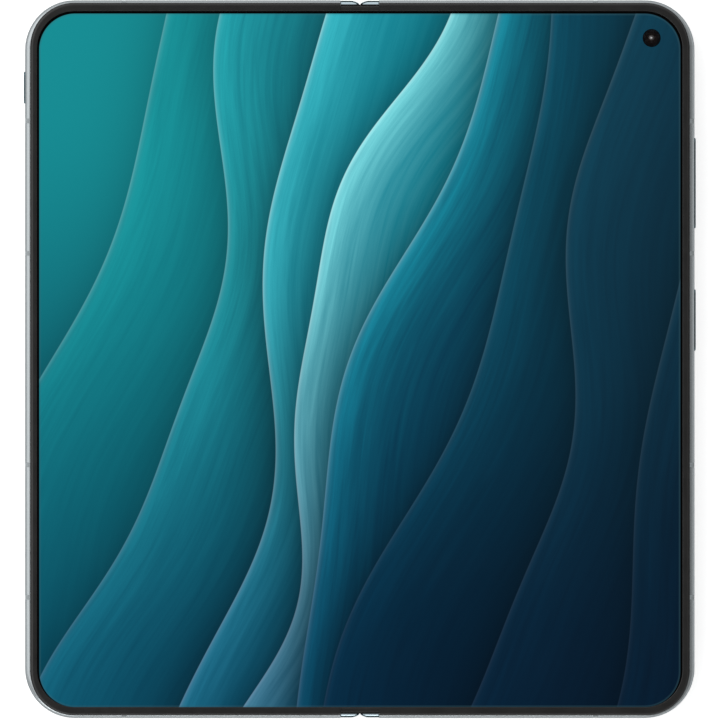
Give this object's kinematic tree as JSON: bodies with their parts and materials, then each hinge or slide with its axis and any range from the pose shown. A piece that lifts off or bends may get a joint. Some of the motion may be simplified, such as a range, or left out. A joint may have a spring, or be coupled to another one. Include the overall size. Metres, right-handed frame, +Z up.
{
  "type": "foldable smartphone",
  "caption": "Book-style foldable phone lying open, with a large inner screen, a geared hinge under its fold, side buttons, a SIM tray and a rear camera island.",
  "frame": {"origin": "on the table under the middle of the open phone, below its camera rings", "axes": "+X across the open phone to the half with the rear cameras, +Y up the phone along the hinge, +Z up out of the inner screen"},
  "size_m": [0.1438, 0.1534, 0.0078],
  "materials": {
    "frame_metal": "fine blasted, cool silver",
    "ear_metal": "polished, blue grey",
    "key_metal": "satin, dark teal",
    "spine_metal": "brushed",
    "break_resin": "satin",
    "bezel_plastic": "soft satin",
    "screen_film": "glossy, lit",
    "back_glass": "matte etched",
    "cover_glass": "polished",
    "outer_screen": "dark, off",
    "island_metal": "satin, dark",
    "ring_metal": "polished",
    "lens_glass": "coated, polished",
    "flash_resin": "frosted lens",
    "camera_body": "satin",
    "board_laminate": "solder mask",
    "shield_steel": "tinned sheet",
    "battery_pouch": "foil pouch",
    "usb_steel": "drawn shell",
    "usb_plastic": "moulded, with gold contacts",
    "module_plastic": "moulded",
    "motor_steel": "drawn can",
    "screw_steel": "turned",
    "hinge_steel": "moulded powder steel",
    "shaft_steel": "ground",
    "washer_steel": "spring temper",
    "wing_steel": "rolled sheet",
    "flex_film": "polyimide film"
  },
  "bodies": {
    "right_half": {"right_frame": "frame_metal", "right_back_cover": "back_glass", "right_bezel": "bezel_plastic", "display_right": "screen_film", "right_end_ears": "ear_metal", "camera_island": "island_metal", "lens_rings": "ring_metal", "lens_glasses": "lens_glass", "main_camera": "camera_body", "wide_camera": "camera_body", "zoom_camera": "camera_body", "flash_window": "flash_resin", "main_board": "board_laminate", "board_shields": "shield_steel", "right_battery": "battery_pouch", "usb_c_shell": "usb_steel", "usb_c_tongue": "usb_plastic", "right_speaker": "module_plastic", "side_switches": "module_plastic", "inner_camera": "camera_body", "inner_camera_window": "lens_glass", "vibration_motor": "motor_steel", "right_antenna_breaks": "break_resin", "right_screws": "screw_steel", "right_hinge_arms": "hinge_steel", "right_timing_arm": "hinge_steel"},
    "spine": {"spine_cover": "spine_metal", "spine_end_caps": "spine_metal", "hinge_cores": "hinge_steel", "timing_core": "hinge_steel", "hinge_shafts": "shaft_steel", "friction_washers": "washer_steel", "display_fold": "screen_film", "hinge_flex": "flex_film"},
    "left_half": {"left_frame": "frame_metal", "cover_glass": "cover_glass", "cover_screen": "outer_screen", "left_bezel": "bezel_plastic", "display_left": "screen_film", "left_end_ears": "ear_metal", "left_battery": "battery_pouch", "left_board": "board_laminate", "left_shields": "shield_steel", "cover_camera": "camera_body", "earpiece": "module_plastic", "left_speaker": "module_plastic", "slider_switch": "module_plastic", "left_antenna_breaks": "break_resin", "left_screws": "screw_steel", "left_hinge_arms": "hinge_steel", "left_timing_arm": "hinge_steel"},
    "right_wing": {"right_wing_plate": "wing_steel"},
    "left_wing": {"left_wing_plate": "wing_steel"},
    "right_idler": {"idler_gear_right": "shaft_steel"},
    "left_idler": {"idler_gear_left": "shaft_steel"},
    "volume_key": {"volume_rocker": "key_metal"},
    "power_key": {"power_button": "key_metal"},
    "alert_key": {"alert_slider": "key_metal"},
    "tray": {"sim_tray": "frame_metal"}
  },
  "joints": [
    {"name": "fold", "type": "hinge", "parent": "right_half", "child": "spine", "pos_m": [0.0017, 0, 0.00615], "axis": [0, 1, 0], "range_deg": [0, 90], "deforming": ["display_fold", "hinge_flex"]},
    {"name": "left_fold", "type": "hinge", "parent": "spine", "child": "left_half", "pos_m": [-0.0017, 0, 0.00615], "axis": [0, 1, 0], "range_deg": [0, 90], "deforming": ["display_fold", "hinge_flex"]},
    {"name": "right_wing_tilt", "type": "hinge", "parent": "right_half", "child": "right_wing", "pos_m": [0.0065, 0, 0.00703], "axis": [0, -1, 0], "range_deg": [0, 24]},
    {"name": "left_wing_tilt", "type": "hinge", "parent": "left_half", "child": "left_wing", "pos_m": [-0.0065, 0, 0.00703], "axis": [0, 1, 0], "range_deg": [0, 24]},
    {"name": "right_idler_spin", "type": "hinge", "parent": "spine", "child": "right_idler", "pos_m": [0.00078, 0, 0.00489], "axis": [0, 1, 0], "range_deg": [0, 90]},
    {"name": "left_idler_spin", "type": "hinge", "parent": "spine", "child": "left_idler", "pos_m": [-0.00078, 0, 0.00489], "axis": [0, 1, 0], "range_deg": [-90, 0]},
    {"name": "volume_rock", "type": "hinge", "parent": "right_half", "child": "volume_key", "pos_m": [0.06903, 0.03765, 0.00475], "axis": [0, 0, 1], "range_deg": [-1.2, 1.2], "stiffness_Nm_per_rad": 0.2},
    {"name": "power_press", "type": "slide", "parent": "right_half", "child": "power_key", "axis": [-1, 0, 0], "range_m": [0, 0.00025], "stiffness_N_per_m": 2000, "springref_m": -0.0003},
    {"name": "alert_slide", "type": "slide", "parent": "left_half", "child": "alert_key", "axis": [0, 1, 0], "range_m": [-0.0016, 0.0016]},
    {"name": "tray_pull", "type": "slide", "parent": "right_half", "child": "tray", "axis": [0, -1, 0], "range_m": [0, 0.0165]}
  ],
  "couplings": [
    {"joint": "left_fold", "follows": "fold", "ratio": 1},
    {"joint": "right_wing_tilt", "follows": "fold", "ratio": 0.26667},
    {"joint": "left_wing_tilt", "follows": "fold", "ratio": 0.26667},
    {"joint": "right_idler_spin", "follows": "fold", "ratio": 1},
    {"joint": "left_idler_spin", "follows": "fold", "ratio": -1}
  ]
}
